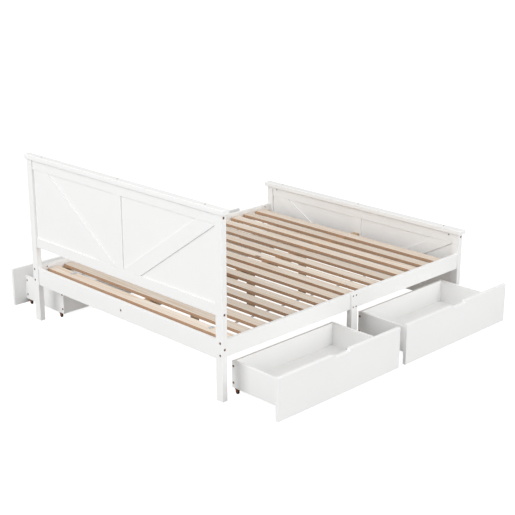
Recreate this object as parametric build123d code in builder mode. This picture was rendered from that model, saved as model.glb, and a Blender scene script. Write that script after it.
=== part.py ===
from build123d import *
import os

# Wooden bed frame for a 1600 x 2000 mm mattress, with four loose drawers on casters.
# Millimetres. +Y is the head end, +Z is up, and the origin is the middle of the bed on the floor.
# "left" is -X and "right" is +X, as seen by someone who stands at the foot and looks at the head.

os.makedirs("parts", exist_ok=True)

# Overall sizes
bed_width = 1688.0
bed_length = 2062.0
head_post_height = 1017.0
foot_post_height = 472.0

# Posts and caps
post_width = 51.0
post_depth = 35.0
cap_thickness = 28.0
cap_end_overhang = 15.0
cap_outer_overhang = 8.0
head_cap_inner_overhang = 8.0
foot_cap_inner_overhang = 17.0

# Rails of the two ends
rail_thickness = 21.0
rail_inset = 7.0
head_top_rail_height = 59.0
foot_top_rail_height = 66.0
panel_rail_height = 62.0
head_panel_rail_bottom = 473.0
foot_panel_rail_bottom = 10.0
cross_rail_height = 105.0
cross_rail_bottom = 232.0

# Panels and the flat trim on both of their faces
panel_thickness = 5.0
panel_groove_depth = 8.0
trim_thickness = 7.0
stile_width = 70.0
brace_span = 150.0

# Side rails, the legs in the middle of the sides, and what carries the slats
side_rail_bottom = 247.0
side_rail_height = 96.0
middle_leg_width = 52.0
middle_leg_depth = 35.0
middle_leg_tongue = 13.0
ledger_width = 22.0
ledger_height = 28.0
ledger_end_gap = 18.0
beam_width = 45.0
beam_height = 50.0
beam_joint_gap = 0.5
centre_leg_size = 38.0
centre_leg_pitch = 470.0
leg_spigot_radius = 10.0
leg_spigot_height = 24.0
beam_seat_width = 64.0
beam_seat_depth = 20.0
beam_seat_height = 34.0

# Slats and the two webbing straps that space them
slat_count = 16
slat_width = 70.0
slat_thickness = 20.0
slat_head_gap = 58.5
slat_foot_gap = 91.5
slat_middle_gap = 36.0
slat_end_gap = 10.0
slat_drop = 23.0
strap_width = 20.0
strap_thickness = 1.2
strap_tail = 42.0
strap_from_rail = 201.0

# Fasteners
bolt_radius = 3.0
bolt_length = 85.0
bolt_head_radius = 7.0
bolt_head_height = 4.0
bolt_head_round = 1.0
bolt_recess = 6.0
nut_radius = 5.0
nut_length = 14.0
nut_slot_width = 1.2
nut_from_tip = 5.0
side_bolt_offset = 34.0
top_bolt_drop = 17.0
panel_rail_bolt_rise = 12.0
cross_rail_bolt_rise = 61.5
screw_radius = 2.5
screw_length = 30.0
screw_head_radius = 5.0
screw_head_height = 3.0
screw_head_round = 0.75
cap_screw_recess = 3.6
cap_screw_length = 50.0
leg_screw_recess = 4.0
leg_screw_spread = 12.5
cap_screw_inset = 136.0
ledger_screw_count = 4
hex_key_size = 4.0
hex_key_depth = 2.4

# Drawers
front_side_gap = 3.0
front_thickness = 22.0
front_clearance = 3.0
front_floor_gap = 2.0
notch_width = 124.0
notch_depth = 15.0
notch_floor_round = 10.0
notch_lip_round = 5.0
box_end_inset = 87.0
box_depth = 405.0
box_height = 155.0
box_board = 15.0
box_back_inset = 4.0
base_thickness = 5.0
base_rise = 15.0
base_groove_depth = 6.0
left_pull = 371.0
right_pull = 313.0

# Drawer casters
wheel_radius = 12.0
wheel_width = 8.0
wheel_pin_radius = 2.0
wheel_top_gap = 4.3
wheel_round = 1.3
caster_plate_length = 36.0
caster_plate_thickness = 1.5
caster_cheek_thickness = 1.2
caster_cheek_length = 14.0
caster_from_back = 36.0
caster_from_front = 46.0
caster_screw_radius = 1.5
caster_screw_length = 12.0
caster_screw_edge = 4.2

# Drawer fasteners
drawer_screw_edge = 30.0
drawer_screw_recess = 3.0
drawer_screw_head_radius = 6.8
cam_radius = 7.0
cam_height = 10.0
cam_from_front = 18.0
stud_radius = 3.0
stud_grip = 10.0

# Edge rounding and clearances
post_round = 2.5
edge_round = 2.0
trim_round = 1.2
slat_round = 2.0
cap_round = 4.0
seat_gap = 0.2
hole_gap = 0.25
thread_gap = 0.05
wheel_side_gap = 0.5
brace_gap = 0.3

# Planes and heights that several pieces share
half_width = bed_width / 2
half_length = bed_length / 2
post_x = half_width - post_width / 2
post_y = half_length - post_depth / 2
bay_edge_x = half_width - post_width
post_inner_y = half_length - post_depth
end_rail_y = half_length - rail_inset - rail_thickness / 2
end_rail_length = 2 * (bay_edge_x - seat_gap)
side_rail_x = half_width - rail_inset - rail_thickness / 2
rail_outer_x = side_rail_x + rail_thickness / 2
rail_inner_x = side_rail_x - rail_thickness / 2
side_rail_top = side_rail_bottom + side_rail_height
side_rail_mid = side_rail_bottom + side_rail_height / 2
leg_outer_x = rail_outer_x + middle_leg_tongue
slat_top = side_rail_top - slat_drop
slat_bottom = slat_top - slat_thickness
head_panel_bottom = head_panel_rail_bottom + panel_rail_height
foot_panel_bottom = foot_panel_rail_bottom + panel_rail_height
head_panel_top = head_post_height - head_top_rail_height
foot_panel_top = foot_post_height - foot_top_rail_height
cross_rail_mid = cross_rail_bottom + cross_rail_height / 2
end_inner_y = end_rail_y - rail_thickness / 2
trim_inner_y = end_rail_y - panel_thickness / 2 - trim_thickness
beam_bottom = slat_bottom - beam_height
beam_bolt_z = cross_rail_mid
bolt_hole_radius = bolt_radius + hole_gap
nut_reach = bolt_recess + bolt_length - nut_from_tip
ENDS = {"head": 1, "foot": -1}
SIDES = {"left": -1, "right": 1}
# Where a barrel nut crosses its bolt: its slotted end looks away from the bolt plane's X
NUT_PLACE = Location((0, 0, -nut_reach), (0, -90, 0))


def save(builder, label):
    """Label a finished piece and write it as the node of that name."""
    builder.part.label = label
    export_step(builder.part, f"parts/{label}.step")


def board(x_size, y_size, z_size, rounding):
    """Add a board with rounded edges at each current location, centred there."""
    with BuildPart(Plane.XY, mode=Mode.PRIVATE) as stock:
        Box(x_size, y_size, z_size)
        fillet(stock.edges(), rounding)
    add(stock.part)


# Where the fasteners enter. Each plane lies on the outer surface and its Z points out of the wood.
side_bolts = {
    (side, end): [
        Plane((sx * side_rail_x, ey * half_length, z), x_dir=(sx, 0, 0), z_dir=(0, ey, 0))
        for z in (side_rail_mid - side_bolt_offset, side_rail_mid + side_bolt_offset)
    ]
    for side, sx in SIDES.items()
    for end, ey in ENDS.items()
}
end_bolt_heights = {
    "head": {
        "top_rail": head_post_height - top_bolt_drop,
        "panel_rail": head_panel_rail_bottom + panel_rail_bolt_rise,
        "cross_rail": cross_rail_bottom + cross_rail_bolt_rise,
    },
    "foot": {
        "top_rail": foot_post_height - top_bolt_drop,
        "panel_rail": foot_panel_rail_bottom + panel_rail_bolt_rise,
    },
}
end_bolts = {
    (side, end, rail): [
        Plane((sx * half_width, ey * end_rail_y, z), x_dir=(0, ey, 0), z_dir=(sx, 0, 0))
    ]
    for side, sx in SIDES.items()
    for end, ey in ENDS.items()
    for rail, z in end_bolt_heights[end].items()
}
beam_bolts = [
    Plane((0, end_rail_y + rail_thickness / 2, beam_bolt_z), x_dir=(1, 0, 0), z_dir=(0, 1, 0))
]
cap_screws = {
    end: [
        Plane((x, ey * end_rail_y, height + cap_thickness), x_dir=(1, 0, 0), z_dir=(0, 0, 1))
        for x in (-(half_width - cap_screw_inset), 0, half_width - cap_screw_inset)
    ]
    for (end, ey), height in zip(ENDS.items(), (head_post_height, foot_post_height))
}
leg_screws = {
    side: [
        Plane((sx * leg_outer_x, y, z), x_dir=(0, sx, 0), z_dir=(sx, 0, 0))
        for y in (-leg_screw_spread, leg_screw_spread)
        for z in (side_rail_mid - side_bolt_offset, side_rail_mid + side_bolt_offset)
    ]
    for side, sx in SIDES.items()
}
ledger_length = post_inner_y - 2 * ledger_end_gap
ledger_screws = {
    (side, end): [
        Plane(
            (
                sx * (rail_inner_x - ledger_width),
                ey * (ledger_end_gap + ledger_length * (i + 0.5) / ledger_screw_count),
                slat_bottom - ledger_height / 2,
            ),
            x_dir=(0, -sx, 0),
            z_dir=(-sx, 0, 0),
        )
        for i in range(ledger_screw_count)
    ]
    for side, sx in SIDES.items()
    for end, ey in ENDS.items()
}
beam_seat_top = beam_bottom - seat_gap
beam_seat_screws = [
    Plane(
        (x, -trim_inner_y + beam_seat_depth, beam_seat_top - beam_seat_height / 2),
        x_dir=(-1, 0, 0),
        z_dir=(0, 1, 0),
    )
    for x in (-beam_seat_width / 4, beam_seat_width / 4)
]


def bolt_seats(planes):
    """Cut the stepped holes that take the bolt heads and let the shanks through."""
    with Locations(*planes):
        CounterBoreHole(bolt_hole_radius, bolt_head_radius + hole_gap, bolt_recess)


def bolt_runs(planes, half_thickness):
    """Cut the holes for the bolt ends, and for the barrel nuts that cross them from the inner face."""
    with Locations(*planes):
        Hole(bolt_hole_radius, depth=bolt_recess + bolt_length + nut_from_tip)
        with Locations(NUT_PLACE):
            with Locations((0, 0, half_thickness)):
                Hole(nut_radius + hole_gap, depth=half_thickness + nut_length / 2 + hole_gap)


def screw_holes(planes, recess):
    """Cut the sunk holes for wood screws."""
    with Locations(*planes):
        CounterBoreHole(screw_radius + thread_gap, screw_head_radius + hole_gap, recess)


def screw_pilots(planes, recess, length=screw_length):
    """Cut the holes that the ends of the wood screws bite into."""
    with Locations(*planes):
        Hole(screw_radius + thread_gap, depth=recess + length + hole_gap)


# Posts
for end, ey in ENDS.items():
    height = head_post_height if end == "head" else foot_post_height
    panel_low = head_panel_rail_bottom if end == "head" else foot_panel_rail_bottom
    for side, sx in SIDES.items():
        with BuildPart() as post:
            with Locations((sx * post_x, ey * post_y, height / 2)):
                board(post_width, post_depth, height, post_round)
            groove_bottom = panel_low + panel_rail_height - panel_groove_depth - seat_gap
            groove_height = height - groove_bottom
            with Locations((sx * bay_edge_x, ey * end_rail_y, groove_bottom + groove_height / 2)):
                Box(
                    2 * (panel_groove_depth + seat_gap),
                    panel_thickness + 2 * seat_gap,
                    groove_height,
                    mode=Mode.SUBTRACT,
                )
            bolt_seats(side_bolts[side, end])
            for rail in end_bolt_heights[end]:
                bolt_seats(end_bolts[side, end, rail])
        save(post, f"{end}_post_{side}")

# Caps on the posts and top rails
for end, ey in ENDS.items():
    height = head_post_height if end == "head" else foot_post_height
    inner_overhang = head_cap_inner_overhang if end == "head" else foot_cap_inner_overhang
    cap_depth = post_depth + cap_outer_overhang + inner_overhang
    cap_y = half_length + cap_outer_overhang - cap_depth / 2
    with BuildPart() as cap:
        with Locations((0, ey * cap_y, height + cap_thickness / 2)):
            board(bed_width + 2 * cap_end_overhang, cap_depth, cap_thickness, cap_round)
        screw_holes(cap_screws[end], cap_screw_recess)
    save(cap, f"{end}_cap")

# Rails, panel and trim of each end
for end, ey in ENDS.items():
    is_head = end == "head"
    height = head_post_height if is_head else foot_post_height
    top_rail_height = head_top_rail_height if is_head else foot_top_rail_height
    panel_rail_bottom = head_panel_rail_bottom if is_head else foot_panel_rail_bottom
    panel_bottom = head_panel_bottom if is_head else foot_panel_bottom
    panel_top = head_panel_top if is_head else foot_panel_top
    groove_size = (panel_thickness + 2 * seat_gap, 2 * (panel_groove_depth + seat_gap))

    with BuildPart() as top_rail:
        with Locations((0, ey * end_rail_y, height - seat_gap - top_rail_height / 2)):
            board(end_rail_length, rail_thickness, top_rail_height, edge_round)
        with Locations((0, ey * end_rail_y, panel_top)):
            Box(end_rail_length, *groove_size, mode=Mode.SUBTRACT)
        for side in SIDES:
            bolt_runs(end_bolts[side, end, "top_rail"], rail_thickness / 2)
        screw_pilots(cap_screws[end], cap_screw_recess, cap_screw_length)
    save(top_rail, f"{end}_top_rail")

    with BuildPart() as panel_rail:
        with Locations((0, ey * end_rail_y, panel_rail_bottom + panel_rail_height / 2)):
            board(end_rail_length, rail_thickness, panel_rail_height, edge_round)
        with Locations((0, ey * end_rail_y, panel_bottom)):
            Box(end_rail_length, *groove_size, mode=Mode.SUBTRACT)
        for side in SIDES:
            bolt_runs(end_bolts[side, end, "panel_rail"], rail_thickness / 2)
    save(panel_rail, f"{end}_panel_rail")

    with BuildPart() as panel:
        with Locations((0, ey * end_rail_y, (panel_bottom + panel_top) / 2)):
            Box(
                2 * (bay_edge_x + panel_groove_depth - seat_gap),
                panel_thickness,
                panel_top - panel_bottom + 2 * (panel_groove_depth - seat_gap),
            )
        if end == "foot":
            screw_pilots(beam_seat_screws, leg_screw_recess)
    save(panel, f"{end}_panel")

    trim_low = panel_bottom + brace_gap
    trim_high = panel_top - seat_gap - brace_gap
    foot_x = stile_width / 2 + brace_gap
    top_x = bay_edge_x - brace_gap
    with BuildPart() as trim:
        for face in (-1, 1):
            trim_y = ey * end_rail_y + face * (panel_thickness + trim_thickness) / 2
            with Locations((0, trim_y, (trim_low + trim_high) / 2)):
                board(stile_width, trim_thickness, trim_high - trim_low, trim_round)
            for sx in SIDES.values():
                with BuildPart(mode=Mode.PRIVATE) as brace:
                    with BuildSketch(Plane.XZ.offset(-trim_y - trim_thickness / 2)):
                        with BuildLine():
                            Polyline(
                                (sx * foot_x, trim_low),
                                (sx * (foot_x + brace_span), trim_low),
                                (sx * top_x, trim_high),
                                (sx * (top_x - brace_span), trim_high),
                                close=True,
                            )
                        make_face()
                    extrude(amount=trim_thickness)
                    fillet(brace.edges().filter_by(Axis.Y, reverse=True), trim_round)
                add(brace.part)
        if end == "foot":
            screw_pilots(beam_seat_screws, leg_screw_recess)
    save(trim, f"{end}_trim")

# The lower cross rail of the head end, which the centre beam bolts to
with BuildPart() as cross_rail:
    with Locations((0, end_rail_y, cross_rail_mid)):
        board(end_rail_length, rail_thickness, cross_rail_height, edge_round)
    for side in SIDES:
        bolt_runs(end_bolts[side, "head", "cross_rail"], rail_thickness / 2)
    bolt_seats(beam_bolts)
save(cross_rail, "head_cross_rail")

# Side rails: two per side, which meet behind the tongue of the middle leg
side_rail_length = post_inner_y - seat_gap - beam_joint_gap
for side, sx in SIDES.items():
    for end, ey in ENDS.items():
        with BuildPart() as side_rail:
            with Locations((sx * side_rail_x, ey * (beam_joint_gap + side_rail_length / 2), side_rail_mid)):
                board(rail_thickness, side_rail_length, side_rail_height, edge_round)
            bolt_runs(side_bolts[side, end], rail_thickness / 2)
            screw_pilots(leg_screws[side], leg_screw_recess)
            screw_pilots(ledger_screws[side, end], leg_screw_recess)
        save(side_rail, f"side_rail_{side}_{end}")

# Middle legs: a square leg under the rails, with a thinner tongue in front of them
with BuildPart() as middle_legs:
    for side, sx in SIDES.items():
        post_top = side_rail_bottom - seat_gap
        leg_x = sx * (leg_outer_x - middle_leg_depth / 2)
        tongue_depth = middle_leg_tongue - seat_gap
        tongue_x = sx * (leg_outer_x - tongue_depth / 2)
        with BuildPart(mode=Mode.PRIVATE) as leg:
            with Locations((leg_x, 0, post_top / 2)):
                Box(middle_leg_depth, middle_leg_width, post_top)
            with Locations((tongue_x, 0, side_rail_top / 2)):
                Box(tongue_depth, middle_leg_width, side_rail_top)
            fillet(leg.edges().filter_by(Axis.Z).group_by(SortBy.LENGTH)[-1], edge_round)
            fillet(leg.faces().sort_by(Axis.Z)[-1].edges(), edge_round)
            fillet(leg.faces().sort_by(Axis.Z)[0].edges(), edge_round)
            screw_holes(leg_screws[side], leg_screw_recess)
        add(leg.part)
save(middle_legs, "middle_legs")

# Cleats: one ledger along each side rail, and the seat for the foot end of the centre beam
with BuildPart() as cleats:
    for side, sx in SIDES.items():
        for end, ey in ENDS.items():
            place = (
                sx * (rail_inner_x - seat_gap - ledger_width / 2),
                ey * (ledger_end_gap + ledger_length / 2),
                slat_bottom - seat_gap - ledger_height / 2,
            )
            with Locations(place):
                board(ledger_width, ledger_length, ledger_height, edge_round)
            screw_holes(ledger_screws[side, end], leg_screw_recess)
    seat_y = -trim_inner_y + (beam_seat_depth + seat_gap) / 2
    with Locations((0, seat_y, beam_seat_top - beam_seat_height / 2)):
        board(beam_seat_width, beam_seat_depth - seat_gap, beam_seat_height, edge_round)
    screw_holes(beam_seat_screws, leg_screw_recess)
save(cleats, "support_cleats")

# Centre beam in two halves, and the three legs under it
beam_half_length = end_inner_y - seat_gap - beam_joint_gap
centre_leg_places = [-centre_leg_pitch, 0, centre_leg_pitch]
beam_top = slat_bottom - seat_gap
with BuildPart() as beam:
    for ey in ENDS.values():
        with Locations((0, ey * (beam_joint_gap + beam_half_length / 2), (beam_top + beam_bottom) / 2)):
            board(beam_width, beam_half_length, beam_top - beam_bottom, edge_round)
    with Locations(*[(0, y, beam_bottom) for y in centre_leg_places]):
        Cylinder(
            leg_spigot_radius + hole_gap,
            2 * (leg_spigot_height + hole_gap),
            mode=Mode.SUBTRACT,
        )
    bolt_runs(beam_bolts, beam_width / 2)
save(beam, "centre_beam")

with BuildPart() as centre_legs:
    leg_top = beam_bottom - seat_gap
    with Locations(*[(0, y, leg_top / 2) for y in centre_leg_places]):
        board(centre_leg_size, centre_leg_size, leg_top, edge_round)
    with Locations(*[(0, y, leg_top) for y in centre_leg_places]):
        Cylinder(
            leg_spigot_radius,
            leg_spigot_height,
            align=(Align.CENTER, Align.CENTER, Align.MIN),
        )
save(centre_legs, "centre_legs")

# Slats in two rows with a narrower space between them, and the straps that run under them and end
# on top of the last one
slat_length = 2 * (rail_inner_x - slat_end_gap)
slat_spaces = 2 * end_inner_y - slat_head_gap - slat_foot_gap - slat_middle_gap - slat_count * slat_width
slat_pitch = slat_width + slat_spaces / (slat_count - 2)
first_slat_y = -end_inner_y + slat_foot_gap + slat_width / 2
last_slat_y = end_inner_y - slat_head_gap - slat_width / 2
row_steps = [slat_pitch * i for i in range(slat_count // 2)]
slat_places = [*[first_slat_y + step for step in row_steps], *[last_slat_y - step for step in row_steps]]
with BuildPart() as slats:
    with Locations(*[(0, y, slat_bottom + slat_thickness / 2) for y in slat_places]):
        board(slat_length, slat_width, slat_thickness, slat_round)
save(slats, "slats")

strap_x = rail_inner_x - strap_from_rail
strap_low = slat_bottom - strap_thickness - seat_gap
strap_high = slat_top + strap_thickness + seat_gap
strap_turn = last_slat_y - slat_width / 2 - seat_gap
strap_start = first_slat_y - slat_width / 4
with BuildPart() as straps:
    for sx in SIDES.values():
        with BuildSketch(Plane.YZ.offset(sx * strap_x - strap_width / 2)):
            with BuildLine():
                Polyline(
                    (strap_start, strap_low),
                    (strap_turn, strap_low),
                    (strap_turn, strap_high - strap_thickness),
                    (strap_turn + strap_tail, strap_high - strap_thickness),
                    (strap_turn + strap_tail, strap_high),
                    (strap_turn - strap_thickness, strap_high),
                    (strap_turn - strap_thickness, strap_low + strap_thickness),
                    (strap_start, strap_low + strap_thickness),
                    close=True,
                )
            make_face()
        extrude(amount=strap_width)
save(straps, "slat_straps")


def hex_socket(top):
    """Cut a hexagon key socket into the head of a fastener whose top is at this height."""
    with BuildPart(Plane.XY, mode=Mode.PRIVATE) as socket:
        with BuildSketch(Plane.XY.offset(top)):
            RegularPolygon(hex_key_size / 2, 6, major_radius=False)
        extrude(amount=-hex_key_depth)
    add(socket.part, mode=Mode.SUBTRACT)


# One of each fastener, with Z along it and the surface of the wood at zero
with BuildPart() as bolt:
    seat = -bolt_recess + seat_gap
    with Locations((0, 0, seat)):
        Cylinder(
            bolt_head_radius,
            bolt_head_height,
            align=(Align.CENTER, Align.CENTER, Align.MIN),
        )
        Cylinder(bolt_radius, bolt_length, align=(Align.CENTER, Align.CENTER, Align.MAX))
    fillet(bolt.faces().sort_by(Axis.Z)[-1].edges(), bolt_head_round)
    hex_socket(seat + bolt_head_height)

with BuildPart() as nut:
    Cylinder(nut_radius, nut_length)
    with Locations(Location((0, 0, 0), (0, 90, 0))):
        Cylinder(bolt_radius + thread_gap, 2 * nut_length, mode=Mode.SUBTRACT)
    with Locations((0, 0, nut_length / 2)):
        Box(2 * nut_radius, nut_slot_width, nut_slot_width, mode=Mode.SUBTRACT)


def wood_screw(head_radius, length=screw_length):
    """Return a wood screw with a flat head of this radius and a shank of this length."""
    with BuildPart(Plane.XY, mode=Mode.PRIVATE) as screw:
        with Locations((0, 0, seat_gap)):
            Cylinder(
                head_radius,
                screw_head_height,
                align=(Align.CENTER, Align.CENTER, Align.MIN),
            )
            Cylinder(screw_radius, length, align=(Align.CENTER, Align.CENTER, Align.MAX))
        fillet(screw.faces().sort_by(Axis.Z)[-1].edges(), screw_head_round)
        hex_socket(seat_gap + screw_head_height)
    return screw.part


frame_screw = wood_screw(screw_head_radius)
cap_screw = wood_screw(screw_head_radius, cap_screw_length)
drawer_screw = wood_screw(drawer_screw_head_radius)

with BuildPart() as bolts:
    for planes in [*side_bolts.values(), *end_bolts.values(), beam_bolts]:
        with Locations(*planes):
            add(bolt.part)
save(bolts, "frame_bolts")

with BuildPart() as nuts:
    for planes in [*side_bolts.values(), *end_bolts.values(), beam_bolts]:
        with Locations(*planes):
            with Locations(NUT_PLACE):
                add(nut.part)
save(nuts, "barrel_nuts")

with BuildPart() as screws:
    for planes in cap_screws.values():
        with Locations(*planes):
            with Locations((0, 0, -cap_screw_recess)):
                add(cap_screw)
    for planes in [*leg_screws.values(), *ledger_screws.values(), beam_seat_screws]:
        with Locations(*planes):
            with Locations((0, 0, -leg_screw_recess)):
                add(frame_screw)
save(screws, "wood_screws")

# Drawers. Each is drawn on a plane at the middle of the outer face of its front, on the floor:
# X runs along the front, Y goes in under the bed, and Z is up.
bay_middle = (middle_leg_width / 2 + post_inner_y) / 2
front_height = side_rail_bottom - front_clearance - front_floor_gap
front_middle_z = front_floor_gap + front_height / 2
front_width = post_inner_y - middle_leg_width / 2 - 2 * front_side_gap
box_width = front_width - 2 * box_end_inset
caster_height = 2 * wheel_radius + wheel_top_gap + caster_plate_thickness + seat_gap
caster_screw_reach = caster_plate_length / 2 - caster_screw_edge
box_bottom = caster_height
box_middle_z = box_bottom + box_height / 2
box_front = front_thickness + seat_gap
box_back = box_front + box_depth
side_x = (box_width - box_board) / 2
back_length = box_width - 2 * (box_board + seat_gap)
back_y = box_back - box_back_inset - box_board / 2
inner_front = front_thickness
inner_back = back_y - box_board / 2
base_bottom = box_bottom + base_rise
base_width = box_width - 2 * box_board + 2 * base_groove_depth
base_depth = inner_back - inner_front + 2 * base_groove_depth
base_centre = (0, (inner_front + inner_back) / 2, base_bottom + base_thickness / 2)
fastener_heights = (box_bottom + drawer_screw_edge, box_bottom + box_height - drawer_screw_edge)
caster_rows = {"front": box_front + caster_from_front, "back": box_back - caster_from_back}
cheek_y = wheel_width / 2 + wheel_side_gap + caster_cheek_thickness / 2
plate_bottom = caster_height - seat_gap - caster_plate_thickness


def base_groove():
    """Cut the groove that holds the drawer's base board."""
    with Locations(base_centre):
        Box(
            base_width + 2 * seat_gap,
            base_depth + 2 * seat_gap,
            base_thickness + 2 * seat_gap,
            mode=Mode.SUBTRACT,
        )


with BuildPart() as caster:
    with Locations((0, 0, plate_bottom)):
        Box(
            box_board,
            caster_plate_length,
            caster_plate_thickness,
            align=(Align.CENTER, Align.CENTER, Align.MIN),
        )
    for face in (-1, 1):
        with BuildSketch(Plane.YZ.offset(face * cheek_y - caster_cheek_thickness / 2)):
            with BuildLine():
                Polyline(
                    (-caster_cheek_length, plate_bottom),
                    (-caster_cheek_length / 2, wheel_radius),
                    (caster_cheek_length / 2, wheel_radius),
                    (caster_cheek_length, plate_bottom),
                    close=True,
                )
            make_face()
            with Locations((0, wheel_radius)):
                Circle(caster_cheek_length / 2 - wheel_side_gap)
                Circle(wheel_pin_radius + thread_gap, mode=Mode.SUBTRACT)
        extrude(amount=caster_cheek_thickness)
    with Locations((0, -caster_screw_reach, 0), (0, caster_screw_reach, 0)):
        Cylinder(caster_screw_radius + thread_gap, 2 * caster_height, mode=Mode.SUBTRACT)

with BuildPart() as wheel_pin:
    with Locations(Location((0, 0, wheel_radius), (0, 90, 0))):
        Cylinder(wheel_pin_radius, 2 * (cheek_y + caster_cheek_thickness))

with BuildPart() as wheel:
    with Locations(Location((0, 0, wheel_radius), (0, 90, 0))):
        Cylinder(wheel_radius, wheel_width)
    fillet(wheel.edges(), wheel_round)
    with Locations(Location((0, 0, wheel_radius), (0, 90, 0))):
        Cylinder(wheel_pin_radius + thread_gap, 2 * wheel_width, mode=Mode.SUBTRACT)

with BuildPart() as caster_screw:
    with Locations((0, 0, plate_bottom - seat_gap)):
        Cylinder(
            2 * caster_screw_radius,
            caster_screw_radius / 2,
            align=(Align.CENTER, Align.CENTER, Align.MAX),
        )
        Cylinder(
            caster_screw_radius,
            caster_screw_length,
            align=(Align.CENTER, Align.CENTER, Align.MIN),
        )

caster_screw_places = [
    (sx * side_x, y + dy, 0)
    for sx in SIDES.values()
    for y in caster_rows.values()
    for dy in (-caster_screw_reach, caster_screw_reach)
]
# Planes in the drawer's own frame where the back's screws and the front's cams go in
back_screws = [
    Location(Plane((sx * box_width / 2, back_y, z), x_dir=(0, sx, 0), z_dir=(sx, 0, 0)))
    for sx in SIDES.values()
    for z in fastener_heights
]
front_cams = [
    Location(Plane((sx * box_width / 2, box_front + cam_from_front, z), x_dir=(0, sx, 0), z_dir=(sx, 0, 0)))
    for sx in SIDES.values()
    for z in fastener_heights
]
front_studs = [
    Location((sx * side_x, front_thickness - stud_grip, z), (-90, 0, 0))
    for sx in SIDES.values()
    for z in fastener_heights
]
stud_length = stud_grip + seat_gap + cam_from_front - cam_radius - hole_gap


def stud_holes():
    """Cut the holes for the studs that join the sides to the front."""
    with Locations(*front_studs):
        Cylinder(
            stud_radius + thread_gap,
            stud_length + hole_gap,
            align=(Align.CENTER, Align.CENTER, Align.MIN),
            mode=Mode.SUBTRACT,
        )


for side, sx in SIDES.items():
    pull = left_pull if side == "left" else right_pull
    for end, ey in ENDS.items():
        name = f"drawer_{side}_{end}"
        face_x = sx * (rail_outer_x + pull)
        place = Plane((face_x, ey * bay_middle, 0), x_dir=(0, sx, 0), z_dir=(0, 0, 1))
        face = Plane((face_x, ey * bay_middle, 0), x_dir=(0, sx, 0), z_dir=(sx, 0, 0))

        with BuildPart(place) as front:
            with BuildSketch(face):
                with Locations((0, front_middle_z)):
                    Rectangle(front_width, front_height)
                with Locations((0, front_floor_gap + front_height)):
                    Rectangle(notch_width, 2 * notch_depth, mode=Mode.SUBTRACT)
                notch_corners = vertices().filter_by_position(Axis.X, -notch_width, notch_width)
                fillet(notch_corners.group_by(Axis.Y)[0], notch_floor_round)
                notch_corners = vertices().filter_by_position(Axis.X, -notch_width, notch_width)
                fillet(notch_corners.group_by(Axis.Y)[-1], notch_lip_round)
            extrude(amount=-front_thickness)
            fillet(front.edges().filter_by(Axis.X, reverse=True), edge_round)
            base_groove()
            stud_holes()
        save(front, f"{name}_front")

        with BuildPart(place) as back:
            with Locations((0, back_y, box_middle_z)):
                board(back_length, box_board, box_height, edge_round)
            base_groove()
            with Locations(*back_screws):
                Hole(screw_radius + thread_gap, depth=drawer_screw_recess + screw_length + hole_gap)
        save(back, f"{name}_back")

        with BuildPart(place) as sides:
            with Locations(*[(x, box_front + box_depth / 2, box_middle_z) for x in (-side_x, side_x)]):
                board(box_board, box_depth, box_height, edge_round)
            base_groove()
            with Locations(*back_screws):
                CounterBoreHole(
                    screw_radius + thread_gap,
                    drawer_screw_head_radius + hole_gap,
                    drawer_screw_recess,
                    depth=2 * box_board,
                )
            with Locations(*front_cams):
                Hole(cam_radius + hole_gap, depth=cam_height + drawer_screw_recess)
            stud_holes()
            with Locations(*caster_screw_places):
                Cylinder(
                    caster_screw_radius + thread_gap,
                    2 * (caster_height + caster_screw_length),
                    mode=Mode.SUBTRACT,
                )
        save(sides, f"{name}_sides")

        with BuildPart(place) as base:
            with Locations(base_centre):
                Box(base_width, base_depth, base_thickness)
        save(base, f"{name}_base")

        with BuildPart(place) as casters:
            with Locations(*[(x, y, 0) for x in (-side_x, side_x) for y in caster_rows.values()]):
                add(caster.part)
                add(wheel_pin.part)
        save(casters, f"{name}_casters")

        for row, y in caster_rows.items():
            with BuildPart(place) as wheels:
                with Locations((-side_x, y, 0), (side_x, y, 0)):
                    add(wheel.part)
            save(wheels, f"{name}_{row}_wheels")

        with BuildPart(place) as fasteners:
            with Locations(*back_screws):
                with Locations((0, 0, -drawer_screw_recess)):
                    add(drawer_screw)
            with Locations(*front_cams):
                with Locations((0, 0, -drawer_screw_recess + seat_gap)):
                    Cylinder(cam_radius, cam_height, align=(Align.CENTER, Align.CENTER, Align.MAX))
            with Locations(*front_studs):
                Cylinder(stud_radius, stud_length, align=(Align.CENTER, Align.CENTER, Align.MIN))
            with Locations(*caster_screw_places):
                add(caster_screw.part)
        save(fasteners, f"{name}_fasteners")
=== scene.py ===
"""Looks of a white wooden bed frame with a slatted base and four rolling drawers, round its CAD model."""

import logging
import math
from dataclasses import dataclass, field
from enum import Enum
from typing import Any, Callable

import bpy
from mathutils import Matrix, Vector


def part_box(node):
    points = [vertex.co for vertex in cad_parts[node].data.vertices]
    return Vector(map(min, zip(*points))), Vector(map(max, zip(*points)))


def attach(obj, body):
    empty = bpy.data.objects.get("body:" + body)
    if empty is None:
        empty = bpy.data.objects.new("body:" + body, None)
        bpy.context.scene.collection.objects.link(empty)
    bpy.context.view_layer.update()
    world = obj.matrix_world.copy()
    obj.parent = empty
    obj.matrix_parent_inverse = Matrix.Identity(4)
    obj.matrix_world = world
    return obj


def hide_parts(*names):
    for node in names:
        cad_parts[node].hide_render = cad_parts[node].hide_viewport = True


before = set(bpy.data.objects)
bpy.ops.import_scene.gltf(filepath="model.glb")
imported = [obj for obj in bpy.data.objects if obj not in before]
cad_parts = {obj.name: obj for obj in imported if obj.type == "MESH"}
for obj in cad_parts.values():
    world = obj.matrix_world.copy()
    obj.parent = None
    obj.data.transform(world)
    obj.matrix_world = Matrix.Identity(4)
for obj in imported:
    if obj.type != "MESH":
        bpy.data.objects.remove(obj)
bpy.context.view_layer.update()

MM = 0.001
LOG = logging.getLogger("bed_frame")
SIDES = {"left": -1, "right": 1}
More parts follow.
